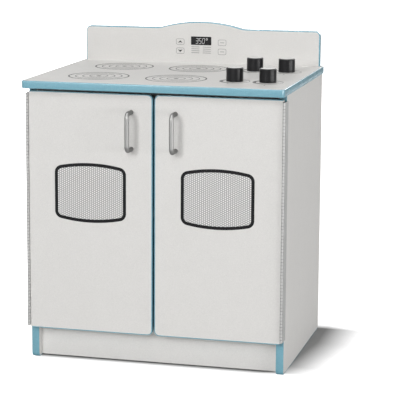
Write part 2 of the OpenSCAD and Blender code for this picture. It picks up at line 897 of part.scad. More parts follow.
// The bolt that carries a knob, with its washer and lock nut under the countertop
module spindle(i) {
    washer_z = -knob_gap - board_t - axial_play - washer_t;
    end_z = washer_z - nut_gap - nut_h - thread_end;
    color(nickel) at_knob(i) {
        translate([0, 0, end_z]) cylinder(h = bolt_seat_z - end_z, r = spindle_d / 2);
        translate([0, 0, bolt_seat_z]) cylinder(h = bolt_head_h, r = hex_r, $fn = 6);
        translate([0, 0, washer_z]) difference() {
            cylinder(h = washer_t, r = washer_r);
            translate([0, 0, -eps]) cylinder(h = washer_t + 2 * eps, r = spindle_bore_r);
        }
        translate([0, 0, washer_z - nut_gap - nut_h]) difference() {
            cylinder(h = nut_h, r = hex_r, $fn = 6);
            translate([0, 0, -eps]) cylinder(h = nut_h + 2 * eps, r = spindle_bore_r);
        }
    }
}

module left_side_panel() side_panel(-1);
module right_side_panel() side_panel(1);
module left_side_edge_band() side_edge_band(-1);
module right_side_edge_band() side_edge_band(1);
module left_hinge_fixed_leaf() hinge_fixed_leaf(-1);
module right_hinge_fixed_leaf() hinge_fixed_leaf(1);
module left_catch() catch_housing(-1);
module right_catch() catch_housing(1);

left_side_panel();
right_side_panel();
left_side_edge_band();
right_side_edge_band();
floor_board();
inner_shelf();
shelf_pins();
back_panel();
kick_board();
front_rail();
carcass_dowels();
countertop();
countertop_edge_band();
backsplash();
backsplash_edge_band();
backsplash_screws();
left_hinge_fixed_leaf();
right_hinge_fixed_leaf();
fixed_leaf_screws();
left_catch();
right_catch();
catch_magnets();
knob_bushings();
burner_prints();
dial_prints();
control_display();
control_print();
door_panel(-1);  // left_door_panel
door_edge_band(-1);  // left_door_edge_band
window_border(-1);  // left_window_border
window_screen(-1);  // left_window_screen
handle(-1);  // left_handle
handle_screws(-1);  // left_handle_screws
hinge_door_leaf(-1);  // left_hinge_door_leaf
hinge_pin(-1);  // left_hinge_pin
door_leaf_screws(-1);  // left_door_leaf_screws
strike_plate(-1);  // left_strike_plate
door_panel(1);  // right_door_panel
door_edge_band(1);  // right_door_edge_band
window_border(1);  // right_window_border
window_screen(1);  // right_window_screen
handle(1);  // right_handle
handle_screws(1);  // right_handle_screws
hinge_door_leaf(1);  // right_hinge_door_leaf
hinge_pin(1);  // right_hinge_pin
door_leaf_screws(1);  // right_door_leaf_screws
strike_plate(1);  // right_strike_plate
knob(0);  // front_left_knob
knob(1);  // front_right_knob
knob(2);  // rear_left_knob
knob(3);  // rear_right_knob
knob_cap(0);  // front_left_knob_cap
knob_cap(1);  // front_right_knob_cap
knob_cap(2);  // rear_left_knob_cap
knob_cap(3);  // rear_right_knob_cap
spindle(0);  // front_left_spindle
spindle(1);  // front_right_spindle
spindle(2);  // rear_left_spindle
spindle(3);  // rear_right_spindle
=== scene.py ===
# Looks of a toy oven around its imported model: finishes, rounded edge bands, screws, the
# display's number, the oven windows' print, studio light and the photograph's camera.
# Lengths are in metres, and MM turns millimetres into them.
import json
import math

import bmesh
import bpy
from mathutils import Matrix, Vector

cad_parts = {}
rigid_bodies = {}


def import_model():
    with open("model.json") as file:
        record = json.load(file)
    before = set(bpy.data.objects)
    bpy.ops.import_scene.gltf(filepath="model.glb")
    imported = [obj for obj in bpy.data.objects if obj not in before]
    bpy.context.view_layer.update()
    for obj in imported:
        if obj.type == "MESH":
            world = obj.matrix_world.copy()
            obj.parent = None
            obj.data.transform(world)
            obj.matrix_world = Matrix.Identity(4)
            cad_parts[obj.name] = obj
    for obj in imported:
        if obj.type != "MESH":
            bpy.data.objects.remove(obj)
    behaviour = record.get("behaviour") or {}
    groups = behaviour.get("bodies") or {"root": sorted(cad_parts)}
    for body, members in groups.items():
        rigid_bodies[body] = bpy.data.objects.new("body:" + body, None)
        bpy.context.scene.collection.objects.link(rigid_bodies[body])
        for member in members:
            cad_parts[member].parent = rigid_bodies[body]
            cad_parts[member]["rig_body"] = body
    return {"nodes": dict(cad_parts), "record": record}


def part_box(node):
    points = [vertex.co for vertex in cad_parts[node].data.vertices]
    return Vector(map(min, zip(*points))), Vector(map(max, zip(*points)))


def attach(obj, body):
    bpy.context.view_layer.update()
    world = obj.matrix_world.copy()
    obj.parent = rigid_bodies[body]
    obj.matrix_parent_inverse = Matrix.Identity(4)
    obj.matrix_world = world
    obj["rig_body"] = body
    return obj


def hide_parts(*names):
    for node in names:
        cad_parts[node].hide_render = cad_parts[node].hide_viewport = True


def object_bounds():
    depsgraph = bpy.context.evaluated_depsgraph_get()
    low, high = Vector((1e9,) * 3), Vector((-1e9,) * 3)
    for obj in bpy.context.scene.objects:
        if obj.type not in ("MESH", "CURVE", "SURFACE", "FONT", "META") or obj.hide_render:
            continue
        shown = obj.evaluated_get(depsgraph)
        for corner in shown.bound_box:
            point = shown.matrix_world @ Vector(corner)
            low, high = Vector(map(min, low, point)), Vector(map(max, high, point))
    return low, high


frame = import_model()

MM = 0.001
scene = bpy.context.scene
cad = frame["nodes"]
cad_low, cad_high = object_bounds()


# Node trees

# Distance between nodes in the editor
NODE_SPACING = 180
# Most values of a noise lie between these two
NOISE_LOW, NOISE_HIGH = 0.3, 0.7
# Where the dark and the light flecks of a noise start, and where they are full
DARK_START, DARK_FULL = 0.43, 0.34
LIGHT_START, LIGHT_FULL = 0.57, 0.66
# A grain's clouds are this many times its size
CLOUD_SIZE = 25.0
BLOTCH_SCALE = 70.0


class Nodes:
    """Short calls to fill one node tree."""

    def __init__(self, tree):
        self.tree = tree

    def add(self, kind, inputs=None, **settings):
        node = self.tree.nodes.new(kind)
        node.location = (NODE_SPACING * len(self.tree.nodes), 0)
        for key, value in settings.items():
            setattr(node, key, value)
        for key, value in (inputs or {}).items():
            self.feed(node.inputs[key], value)
        return node

    def feed(self, socket, value):
        if isinstance(value, bpy.types.NodeSocket):
            self.tree.links.new(value, socket)
        else:
            socket.default_value = value

    def math(self, operation, *values, clamp=False):
        node = self.add("ShaderNodeMath", dict(enumerate(values)), operation=operation)
        node.use_clamp = clamp
        return node.outputs[0]

    def ramp(self, value, low, high, to_low=0.0, to_high=1.0):
        node = self.add("ShaderNodeMapRange", {"Value": value, "From Min": low, "From Max": high,
                                               "To Min": to_low, "To Max": to_high})
        return node.outputs["Result"]

    def noise(self, vector, scale, detail=2.0):
        node = self.add("ShaderNodeTexNoise", {"Vector": vector, "Scale": scale, "Detail": detail})
        return node.outputs["Fac"]

    def blend(self, main, main_share, other):
        """A sum of two noises whose shares add up to one."""
        return self.math("ADD", self.math("MULTIPLY", main, main_share),
                         self.math("MULTIPLY", other, 1.0 - main_share))

    def swing(self, noise, depth):
        """A noise spread evenly about zero, as far as depth to either side."""
        return self.math("MULTIPLY", self.ramp(noise, NOISE_LOW, NOISE_HIGH, -1.0, 1.0), depth)


def effect_group(name, inputs, outputs):
    """An empty shader node group: its inputs are names with defaults, its outputs are names."""
    group = bpy.data.node_groups.new(name, "ShaderNodeTree")
    for label, default in inputs.items():
        kind = "NodeSocketVector" if isinstance(default, tuple) else "NodeSocketFloat"
        socket = group.interface.new_socket(name=label, in_out="INPUT", socket_type=kind)
        socket.default_value = default
    for label in outputs:
        group.interface.new_socket(name=label, in_out="OUTPUT", socket_type="NodeSocketFloat")
    nodes = Nodes(group)
    given = nodes.add("NodeGroupInput").outputs
    result = nodes.add("NodeGroupOutput").inputs
    where = nodes.add("ShaderNodeTexCoord").outputs["Object"]
    return nodes, given, result, where


def fleck_effect():
    """Fine dark and light flecks over soft clouds, as in a printed laminate."""
    nodes, given, result, where = effect_group(
        "laminate flecks",
        {"Fleck scale": 620.0, "Fleck depth": 0.05, "Cloud scale": 45.0, "Cloud depth": 0.02},
        ["Tone", "Height"])
    fleck = nodes.noise(where, given["Fleck scale"], 3.0)
    cloud = nodes.noise(where, given["Cloud scale"], 3.0)
    dark = nodes.ramp(fleck, DARK_START, DARK_FULL)
    light = nodes.ramp(fleck, LIGHT_START, LIGHT_FULL)
    flecks = nodes.math("MULTIPLY", nodes.math("SUBTRACT", light, dark), given["Fleck depth"])
    clouds = nodes.swing(cloud, given["Cloud depth"])
    tone = nodes.math("ADD", nodes.math("ADD", flecks, clouds), 1.0)
    nodes.feed(result["Tone"], tone)
    nodes.feed(result["Height"], fleck)
    return nodes.tree


def grain_effect():
    """The fine skin of moulded plastic or ink: an even grain and faint broad clouds."""
    nodes, given, result, where = effect_group(
        "fine grain", {"Scale": 1500.0, "Depth": 0.05}, ["Tone", "Roughness", "Height"])
    grain = nodes.noise(where, given["Scale"], 2.0)
    cloud = nodes.noise(where, nodes.math("DIVIDE", given["Scale"], CLOUD_SIZE), 2.0)
    swing = nodes.swing(nodes.blend(grain, 0.6, cloud), given["Depth"])
    nodes.feed(result["Tone"], nodes.math("ADD", swing, 1.0))
    nodes.feed(result["Roughness"], swing)
    nodes.feed(result["Height"], grain)
    return nodes.tree


def streak_effect():
    """Fine drawn or brushed lines: noise squeezed by Stretch along each axis."""
    nodes, given, result, where = effect_group(
        "drawn streaks", {"Stretch": (900.0, 900.0, 12.0), "Depth": 0.08},
        ["Tone", "Roughness", "Height"])
    squeezed = nodes.add("ShaderNodeVectorMath", {0: where, 1: given["Stretch"]},
                         operation="MULTIPLY").outputs["Vector"]
    streak = nodes.noise(squeezed, 1.0, 3.0)
    blotch = nodes.noise(where, BLOTCH_SCALE, 2.0)
    swing = nodes.swing(nodes.blend(streak, 0.7, blotch), given["Depth"])
    nodes.feed(result["Tone"], nodes.math("ADD", swing, 1.0))
    nodes.feed(result["Roughness"], swing)
    nodes.feed(result["Height"], streak)
    return nodes.tree


def dot_effect():
    """A staggered lattice of round dots in the XZ plane."""
    nodes, given, result, where = effect_group(
        "staggered dots",
        {"Column pitch": 0.00437, "Row pitch": 0.00455, "Dot radius": 0.0013, "Softness": 0.0003},
        ["Mask"])
    cell = nodes.add("ShaderNodeCombineXYZ", {
        "X": nodes.math("MULTIPLY", given["Column pitch"], 2.0), "Y": 1.0,
        "Z": given["Row pitch"]}).outputs[0]
    half = nodes.add("ShaderNodeVectorMath", {0: cell, "Scale": 0.5}, operation="SCALE").outputs[0]
    low = nodes.add("ShaderNodeVectorMath", {0: cell, "Scale": -0.5}, operation="SCALE").outputs[0]
    flat = nodes.add("ShaderNodeVectorMath", {0: where, 1: (1.0, 0.0, 1.0)},
                     operation="MULTIPLY").outputs[0]
    shifted = nodes.add("ShaderNodeVectorMath", {0: flat, 1: half}, operation="ADD").outputs[0]
    outer = nodes.math("ADD", given["Dot radius"], given["Softness"])
    masks = []
    for place in (flat, shifted):
        wrapped = nodes.add("ShaderNodeVectorMath", {0: place, 1: half, 2: low},
                            operation="WRAP").outputs[0]
        level = nodes.add("ShaderNodeVectorMath", {0: wrapped, 1: (1.0, 0.0, 1.0)},
                          operation="MULTIPLY").outputs[0]
        away = nodes.add("ShaderNodeVectorMath", {0: level}, operation="LENGTH").outputs["Value"]
        masks.append(nodes.ramp(away, outer, given["Dot radius"]))
    nodes.feed(result["Mask"], nodes.math("MAXIMUM", *masks))
    return nodes.tree


def knuckle_shade_and_grime_effect():
    """Painted shade and grime: dark rings round a hinge barrel where two knuckles meet. The barrel
    runs along Z.
    """
    nodes, given, result, where = effect_group(
        "knuckle shade and grime",
        {"Axis x": 0.26, "Axis y": -0.2, "Reach": 0.003, "Start": 0.08, "Pitch": 0.0068,
         "Line": 0.0006},
        ["Mask"])
    split = nodes.add("ShaderNodeSeparateXYZ", {0: where}).outputs
    off_x = nodes.math("SUBTRACT", nodes.math("ABSOLUTE", split["X"]), given["Axis x"])
    off_y = nodes.math("SUBTRACT", split["Y"], given["Axis y"])
    away = nodes.math("SQRT", nodes.math("ADD", nodes.math("MULTIPLY", off_x, off_x),
                                         nodes.math("MULTIPLY", off_y, off_y)))
    barrel = nodes.math("LESS_THAN", away, given["Reach"])
    along = nodes.math("SUBTRACT", split["Z"], given["Start"])
    to_joint = nodes.math("PINGPONG", along, nodes.math("MULTIPLY", given["Pitch"], 0.5))
    ring = nodes.ramp(to_joint, given["Line"], nodes.math("MULTIPLY", given["Line"], 0.5))
    nodes.feed(result["Mask"], nodes.math("MULTIPLY", ring, barrel))
    return nodes.tree


FLECKS = fleck_effect()
GRAIN = grain_effect()
STREAKS = streak_effect()
DOTS = dot_effect()
KNUCKLE_SHADE_AND_GRIME = knuckle_shade_and_grime_effect()


# Materials

LAMINATE_PALE = (0.70, 0.69, 0.672)
# Painted shade: the near-black brown of the countertop's underside, where shade falls
UNDERSIDE_SHADE_BROWN = (0.05, 0.045, 0.04)
# The hinge's nickel, and the tone of the painted shade and grime at its knuckle joints
HINGE_NICKEL, HINGE_SHADE_AND_GRIME_TONE = (0.47, 0.47, 0.465), 0.45
SCREEN_GREY, SCREEN_DOT = (0.37, 0.37, 0.365), (0.81, 0.81, 0.80)
KNUCKLES = 73
# How far streaks are squeezed along each axis: they run along the one with the smallest number
STREAKS_ALONG_X = (12.0, 900.0, 900.0)
STREAKS_ALONG_Z = (1100.0, 1100.0, 14.0)
HINGE_STREAKS = (700.0, 700.0, 25.0)
BEECH_STREAKS = (8.0, 500.0, 500.0)
NO_STREAKS = (400.0, 400.0, 400.0)


class Finish(Nodes):
    """A material with one Principled surface."""

    def __init__(self, name, **surface):
        self.material = bpy.data.materials.new(name)
        self.material.use_nodes = True
        super().__init__(self.material.node_tree)
        self.surface = self.tree.nodes["Principled BSDF"]
        for key, value in surface.items():
            self.surface.inputs[key.replace("_", " ")].default_value = value

    def effect(self, group, **values):
        node = self.add("ShaderNodeGroup", node_tree=group)
        for key, value in values.items():
            node.inputs[key.replace("_", " ")].default_value = value
        return node.outputs

    def tint(self, colour, tone):
        """Feeds Base Color with a colour whose lightness follows tone."""
        scaled = self.add("ShaderNodeVectorMath", {0: colour, "Scale": tone}, operation="SCALE")
        self.feed(self.surface.inputs["Base Color"], scaled.outputs[0])

    def roughen(self, middle, swing):
        self.feed(self.surface.inputs["Roughness"], self.math("ADD", swing, middle, clamp=True))

    def bump(self, height, distance, strength=1.0):
        node = self.add("ShaderNodeBump", {"Height": height, "Distance": distance,
                                           "Strength": strength})
        self.feed(self.surface.inputs["Normal"], node.outputs[0])


def laminate(name, shade_below_z=None):
    """Pale speckled laminate. Given a height, it is painted near-black brown below it, as painted
    shade.
    """
    finish = Finish(name, Specular_IOR_Level=0.2)
    flecks = finish.effect(FLECKS, Cloud_depth=0.008)
    colour = LAMINATE_PALE
    # Below the given height the colour turns to painted shade
    if shade_below_z is not None:
        height = finish.add("ShaderNodeSeparateXYZ", {
            0: finish.add("ShaderNodeTexCoord").outputs["Object"]}).outputs["Z"]
        mix = finish.add("ShaderNodeMix", {
            "Factor": finish.math("LESS_THAN", height, shade_below_z),
            "A": (*LAMINATE_PALE, 1.0), "B": (*UNDERSIDE_SHADE_BROWN, 1.0)}, data_type="RGBA")
        colour = mix.outputs[2]
    finish.tint(colour, flecks["Tone"])
    grain = finish.effect(GRAIN, Scale=900.0, Depth=0.04)
    finish.roughen(0.48, grain["Roughness"])
    finish.bump(flecks["Height"], 0.00008)
    return finish.material


def moulded(name, colour, roughness, scale=1500.0, depth=0.05, distance=0.00004, **surface):
    """Plastic, ink or film with a fine grain."""
    finish = Finish(name, **surface)
    grain = finish.effect(GRAIN, Scale=scale, Depth=depth)
    finish.tint(colour, grain["Tone"])
    finish.roughen(roughness, grain["Roughness"])
    finish.bump(grain["Height"], distance)
    return finish.material


def streaked(name, colour, roughness, stretch, depth=0.08, distance=0.00002, rim=1.0,
             metallic=1.0):
    """Metal or wood with fine lines along the axis whose stretch is smallest. A low rim darkens
    it where it turns away."""
    finish = Finish(name, Metallic=metallic, Specular_Tint=(rim, rim, rim, 1.0))
    streaks = finish.effect(STREAKS, Stretch=stretch, Depth=depth)
    finish.tint(colour, streaks["Tone"])
    finish.roughen(roughness, streaks["Roughness"])
    finish.bump(streaks["Height"], distance)
    return finish.material


def hinge_steel():
    """Satin nickel whose barrels carry rings of painted shade and grime where the knuckles meet.
    """
    low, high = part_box("right_hinge_pin")
    middle = (low + high) / 2
    finish = Finish("nickel plated steel", Metallic=1.0)
    streaks = finish.effect(STREAKS, Stretch=HINGE_STREAKS)
    # Painted shade and grime: dark rings on the barrels where the knuckles meet
    rings = finish.effect(KNUCKLE_SHADE_AND_GRIME, Axis_x=middle.x, Axis_y=middle.y, Start=low.z,
                          Pitch=(high.z - low.z) / KNUCKLES)
    shade_and_grime_tone = finish.ramp(rings["Mask"], 0.0, 1.0, 1.0, HINGE_SHADE_AND_GRIME_TONE)
    finish.tint(HINGE_NICKEL, finish.math("MULTIPLY", streaks["Tone"], shade_and_grime_tone))
    finish.roughen(0.58, streaks["Roughness"])
    finish.bump(streaks["Height"], 0.00001)
    return finish.material


def dotted_film():
    """The printed oven window: pale dots on mid grey."""
    finish = Finish("dotted window print")
    mask = finish.effect(DOTS)["Mask"]
    grain = finish.effect(GRAIN, Scale=1200.0, Depth=0.03)
    mix = finish.add("ShaderNodeMix", {"Factor": mask, "A": (*SCREEN_GREY, 1.0),
                                       "B": (*SCREEN_DOT, 1.0)}, data_type="RGBA")
    finish.feed(finish.surface.inputs["Base Color"], mix.outputs[2])
    finish.roughen(0.42, grain["Roughness"])
    finish.bump(grain["Height"], 0.00003)
    return finish.material


LAMINATE = laminate("pale speckled laminate")
# The countertop's laminate, with painted shade on its underside
COUNTER_LAMINATE_SHADED_BELOW = laminate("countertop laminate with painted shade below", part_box("countertop")[0].z + 0.5 * MM)
BAND = moulded("teal edge band", (0.178, 0.395, 0.485), 0.28, scale=700.0, depth=0.04,
               Specular_IOR_Level=0.3, Coat_Weight=0.7, Coat_Roughness=0.14)
HINGE_STEEL = hinge_steel()
SATIN_STEEL = streaked("satin steel", (0.34, 0.34, 0.335), 0.50, STREAKS_ALONG_Z, depth=0.05,
                       distance=0.000005, rim=0.25)
PLATED_STEEL = streaked("zinc plated steel", (0.46, 0.46, 0.45), 0.42, NO_STREAKS, depth=0.05)
CAP_METAL = streaked("pale spun cap", (0.58, 0.58, 0.565), 0.46, STREAKS_ALONG_X, depth=0.05)
WHITE_PLASTIC = moulded("white plastic", (0.78, 0.78, 0.75), 0.42)
MAGNET = moulded("dark sintered magnet", (0.06, 0.06, 0.065), 0.55, scale=2500.0, depth=0.25)
KNOB_BLACK = moulded("satin black plastic", (0.008, 0.008, 0.009), 0.30, scale=1800.0,
                     Specular_IOR_Level=0.25)
GREY_INK = moulded("burner print", (0.05, 0.05, 0.05), 0.45, Specular_IOR_Level=0.2)
DARK_INK = moulded("dial print", (0.07, 0.07, 0.072), 0.45, Specular_IOR_Level=0.2)
PANEL_INK = moulded("panel grey print", (0.24, 0.24, 0.24), 0.45)
BLACK_FILM = moulded("black print", (0.006, 0.006, 0.007), 0.42, Specular_IOR_Level=0.2)
LIT_INK = moulded("pale digit print", (0.70, 0.70, 0.70), 0.45)
DOTTED = dotted_film()
BEECH = streaked("beech", (0.60, 0.42, 0.24), 0.6, BEECH_STREAKS, depth=0.12, metallic=0.0)

NODE_FINISH = {
    "laminated_board": LAMINATE,
    "edge_band": BAND,
    "beech_dowel": BEECH,
    "hinge_steel": HINGE_STEEL,
    "satin_steel": SATIN_STEEL,
    "plated_steel": PLATED_STEEL,
    "white_plastic": WHITE_PLASTIC,
    "magnet": MAGNET,
    "black_plastic": KNOB_BLACK,
    "knob_cap": CAP_METAL,
    "grey_print": GREY_INK,
    "dark_print": DARK_INK,
    "black_film": BLACK_FILM,
    "mesh_film": DOTTED,
}


def dress(obj, material):
    """Makes a material the object's only one."""
    obj.data.materials.clear()
    obj.data.materials.append(material)


slot_of = {part["node"]: part["material_slot"] for part in frame["record"]["subparts"]}
for name, obj in cad.items():
    dress(obj, NODE_FINISH[slot_of[name]])
# The countertop takes the laminate with painted shade on its underside
dress(cad["countertop"], COUNTER_LAMINATE_SHADED_BELOW)
dress(cad["control_print"], PANEL_INK)


# Pieces

MERGE_DISTANCE = 1e-6


def piece_from(bm, name, material):
    """Turns a bmesh into a scene object at the origin."""
    mesh = bpy.data.meshes.new(name)
    bm.to_mesh(mesh)
    bm.free()
    obj = bpy.data.objects.new(name, mesh)
    scene.collection.objects.link(obj)
    dress(obj, material)
    return obj


def smooth(obj, degrees=35.0):
    """Shades an object smooth, and keeps its edges sharp where it turns by more than degrees."""
    obj.data.polygons.foreach_set("use_smooth", [True] * len(obj.data.polygons))
    obj.data.set_sharp_from_angle(angle=math.radians(degrees))
    return obj


RIM_RADIUS, RIM_STEPS = 1.3 * MM, 3
FLAT_ANGLE = math.radians(0.5)
# A face looks along an axis above the first share of its normal, and across it below the second
FACING, ACROSS = 0.9, 0.1


def rounded_band(node, cap_axis):
    """A copy of an edge band with its outer rims rounded: those between an outer wall and the
    faces that look along cap_axis."""
    bm = bmesh.new()
    bm.from_mesh(cad[node].data)
    bmesh.ops.remove_doubles(bm, verts=bm.verts, dist=MERGE_DISTANCE)
    bmesh.ops.dissolve_limit(bm, angle_limit=FLAT_ANGLE, verts=bm.verts, edges=bm.edges)
    low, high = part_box(node)
    middle = (low + high) / 2
    rims = []
    for edge in bm.edges:
        if len(edge.link_faces) != 2:
            continue
        caps = [f for f in edge.link_faces if abs(f.normal[cap_axis]) > FACING]
        walls = [f for f in edge.link_faces if abs(f.normal[cap_axis]) < ACROSS]
        if len(caps) != 1 or len(walls) != 1:
            continue
        outward = (edge.verts[0].co + edge.verts[1].co) / 2 - middle
        if walls[0].normal.dot(outward) > 0:
            rims.append(edge)
    bmesh.ops.bevel(bm, geom=rims, offset=RIM_RADIUS, segments=RIM_STEPS, profile=0.5,
                    affect="EDGES", clamp_overlap=True)
    piece = smooth(piece_from(bm, node + "_rounded", BAND))
    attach(piece, cad[node]["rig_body"])
    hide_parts(node)


for band_node, band_axis in (
        ("countertop_edge_band", 2), ("backsplash_edge_band", 1),
        ("left_side_edge_band", 0), ("right_side_edge_band", 0),
        ("left_door_edge_band", 1), ("right_door_edge_band", 1)):
    rounded_band(band_node, band_axis)


# Screws with a cross recess, at the places and in the sizes of the CAD's plain ones

SCREW_SIZES = {"Face radius": 0.003, "Under radius": 0.002, "Head height": 0.001,
               "Shank radius": 0.0015, "Length": 0.012, "Arm": 0.0018, "Arm width": 0.0006,
               "Recess depth": 0.0006}
SCREW_SEED = 7
HEAD_SIDES, SHANK_SIDES = 24, 16
# The cross recess, in shares of the head's radius and of its height
ARM_SHARE, ARM_WIDTH_SHARE, RECESS_SHARE = 0.60, 0.30, 0.8
# The share of a pan head's radius that its flat face keeps
PAN_FLAT = 0.86
# How far a vertex may lie from the level that it belongs to
LEVEL_REACH = 1e-5


def screw_tree():
    """A geometry tree that sets a screw on each vertex, along the vertex's head_axis."""
    tree = bpy.data.node_groups.new("cross screws", "GeometryNodeTree")
    face = tree.interface
    face.new_socket(name="Geometry", in_out="INPUT", socket_type="NodeSocketGeometry")
    for label, default in SCREW_SIZES.items():
        socket = face.new_socket(name=label, in_out="INPUT", socket_type="NodeSocketFloat")
        socket.default_value = default
    face.new_socket(name="Seed", in_out="INPUT", socket_type="NodeSocketInt")
    face.new_socket(name="Material", in_out="INPUT", socket_type="NodeSocketMaterial")
    face.new_socket(name="Geometry", in_out="OUTPUT", socket_type="NodeSocketGeometry")
    nodes = Nodes(tree)
    given = nodes.add("NodeGroupInput").outputs
    head = nodes.add("GeometryNodeMeshCone", {
        "Vertices": HEAD_SIDES, "Radius Top": given["Face radius"],
        "Radius Bottom": given["Under radius"], "Depth": given["Head height"]})
    sunk = nodes.math("MULTIPLY", given["Head height"], -1.0)
    head = nodes.add("GeometryNodeTransform", {
        "Geometry": head.outputs["Mesh"],
        "Translation": nodes.add("ShaderNodeCombineXYZ", {"Z": sunk}).outputs[0]})
    cutters = []
    for turn in (0.0, math.pi / 2):
        size = nodes.add("ShaderNodeCombineXYZ", {
            "X": nodes.math("MULTIPLY", given["Arm"], 2.0), "Y": given["Arm width"],
            "Z": nodes.math("MULTIPLY", given["Recess depth"], 2.0)})
        bar = nodes.add("GeometryNodeMeshCube", {"Size": size.outputs[0]})
        cutters.append(nodes.add("GeometryNodeTransform", {
            "Geometry": bar.outputs["Mesh"], "Rotation": (0.0, 0.0, turn)}).outputs[0])
    cut = nodes.add("GeometryNodeMeshBoolean", {"Mesh 1": head.outputs[0]},
                    operation="DIFFERENCE", solver="EXACT")
    for cutter in cutters:
        tree.links.new(cutter, cut.inputs["Mesh 2"])
    shank_l = nodes.math("SUBTRACT", given["Length"], given["Head height"])
    shank = nodes.add("GeometryNodeMeshCylinder", {
        "Vertices": SHANK_SIDES, "Radius": given["Shank radius"], "Depth": shank_l})
    shank_z = nodes.math("SUBTRACT", sunk, nodes.math("MULTIPLY", shank_l, 0.5))
    shank = nodes.add("GeometryNodeTransform", {
        "Geometry": shank.outputs["Mesh"],
        "Translation": nodes.add("ShaderNodeCombineXYZ", {"Z": shank_z}).outputs[0]})
    whole = nodes.add("GeometryNodeJoinGeometry")
    for part in (cut.outputs["Mesh"], shank.outputs[0]):
        tree.links.new(part, whole.inputs[0])
    turn = nodes.add("FunctionNodeRandomValue", {"Seed": given["Seed"]}, data_type="FLOAT")
    quarter = nodes.math("MULTIPLY", turn.outputs[1], math.pi / 2)
    spin = nodes.add("FunctionNodeEulerToRotation", {
        0: nodes.add("ShaderNodeCombineXYZ", {"Z": quarter}).outputs[0]})
    axis = nodes.add("GeometryNodeInputNamedAttribute", {"Name": "head_axis"},
                     data_type="FLOAT_VECTOR")
    aim = nodes.add("FunctionNodeAlignRotationToVector", {
        "Rotation": spin.outputs[0], "Vector": axis.outputs[0]}, axis="Z")
    spread = nodes.add("GeometryNodeInstanceOnPoints", {
        "Points": given["Geometry"], "Instance": whole.outputs[0], "Rotation": aim.outputs[0]})
    real = nodes.add("GeometryNodeRealizeInstances", {"Geometry": spread.outputs[0]})
    done = nodes.add("GeometryNodeSetMaterial", {
        "Geometry": real.outputs[0], "Material": given["Material"]})
    result = nodes.add("NodeGroupOutput")
    nodes.feed(result.inputs[0], done.outputs[0])
    return tree


def solids_of(node):
    """The vertex places of each solid of a CAD node."""
    bm = bmesh.new()
    bm.from_mesh(cad[node].data)
    bmesh.ops.remove_doubles(bm, verts=bm.verts, dist=MERGE_DISTANCE)
    waiting, solids = set(bm.verts), []
    for first in bm.verts:
        if first not in waiting:
            continue
        waiting.remove(first)
        edge_of_search, solid = [first], []
        while edge_of_search:
            vert = edge_of_search.pop()
            solid.append(vert.co.copy())
            for edge in vert.link_edges:
                other = edge.other_vert(vert)
                if other in waiting:
                    waiting.remove(other)
                    edge_of_search.append(other)
        solids.append(solid)
    bm.free()
    return solids


def read_screw(points):
    """Where a CAD screw's head face lies, which way it looks, and the screw's sizes."""
    low = Vector([min(p[i] for p in points) for i in range(3)])
    high = Vector([max(p[i] for p in points) for i in range(3)])
    size, middle = high - low, (low + high) / 2
    axis = max(range(3), key=lambda i: size[i])
    across = [i for i in range(3) if i != axis]

    def radius_at(level):
        return max(math.hypot(*(p[i] - middle[i] for i in across))
                   for p in points if abs(p[axis] - level) < LEVEL_REACH)

    sign = 1.0 if radius_at(high[axis]) > radius_at(low[axis]) else -1.0
    levels = sorted({round(p[axis] * sign, 6) for p in points}, reverse=True)
    place = middle.copy()
    place[axis] = levels[0] * sign
    outward = Vector((0.0, 0.0, 0.0))
    outward[axis] = sign
    return place, outward, {"Face radius": radius_at(levels[0] * sign),
                            "Shank radius": radius_at(levels[-1] * sign),
                            "Head height": levels[0] - levels[1],
                            "Length": levels[0] - levels[-1]}


def recessed_screws(node, tree, dome=None):
    """Replaces a CAD node's screws. With a dome, a share of the head's radius that its flat
    face keeps, the head is a pan head; without one it is countersunk."""
    screws = [read_screw(points) for points in solids_of(node)]
    values = dict(SCREW_SIZES, **screws[0][2])
    head_r = values["Face radius"]
    values["Under radius"] = head_r if dome else values["Shank radius"]
    values["Face radius"] = head_r * (dome or 1.0)
    values["Arm"] = head_r * ARM_SHARE
    values["Arm width"] = head_r * ARM_WIDTH_SHARE
    values["Recess depth"] = values["Head height"] * RECESS_SHARE
    mesh = bpy.data.meshes.new(node + "_places")
    mesh.from_pydata([place for place, outward, sizes in screws], [], [])
    axes = mesh.attributes.new("head_axis", "FLOAT_VECTOR", "POINT")
    axes.data.foreach_set("vector", [c for place, outward, sizes in screws for c in outward])
    holder = bpy.data.objects.new(node + "_places", mesh)
    scene.collection.objects.link(holder)
    modifier = holder.modifiers.new("screws", "NODES")
    modifier.node_group = tree
    values.update({"Seed": SCREW_SEED, "Material": PLATED_STEEL})
    for item in tree.interface.items_tree:
        if item.in_out == "INPUT" and item.name in values:
            modifier[item.identifier] = values[item.name]
    bpy.context.view_layer.update()
    depsgraph = bpy.context.evaluated_depsgraph_get()
    made = bpy.data.meshes.new_from_object(holder.evaluated_get(depsgraph), depsgraph=depsgraph)
    holder.modifiers.clear()
    bpy.data.objects.remove(holder)
    piece = bpy.data.objects.new(node + "_recessed", made)
    scene.collection.objects.link(piece)
    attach(piece, cad[node]["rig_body"])
    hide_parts(node)


screws = screw_tree()
for screw_node in ("fixed_leaf_screws", "left_door_leaf_screws", "right_door_leaf_screws",
                   "backsplash_screws"):
    recessed_screws(screw_node, screws)
for screw_node in ("left_handle_screws", "right_handle_screws"):
    recessed_screws(screw_node, screws, dome=PAN_FLAT)


# The display's number and a degree sign, drawn as the lit bars of seven-bar digits

NUMBER = "350"
DISPLAY_W, DISPLAY_H = 47.0 * MM, 19.0 * MM
DIGIT_W, DIGIT_H, DIGIT_PITCH = 5.0 * MM, 11.6 * MM, 7.4 * MM
DIGIT_BAR, DIGIT_GAP, DIGIT_SLANT = 0.8 * MM, 0.1 * MM, 0.13
DIGIT_START, DIGIT_FOOT = 10.6 * MM, 3.4 * MM
DIGIT_THICK = 0.06 * MM
# The degree sign: how far it stands from where a next digit would, and its height
SIGN_GAP, SIGN_SIZE = 0.6 * MM, 0.3 * DIGIT_H
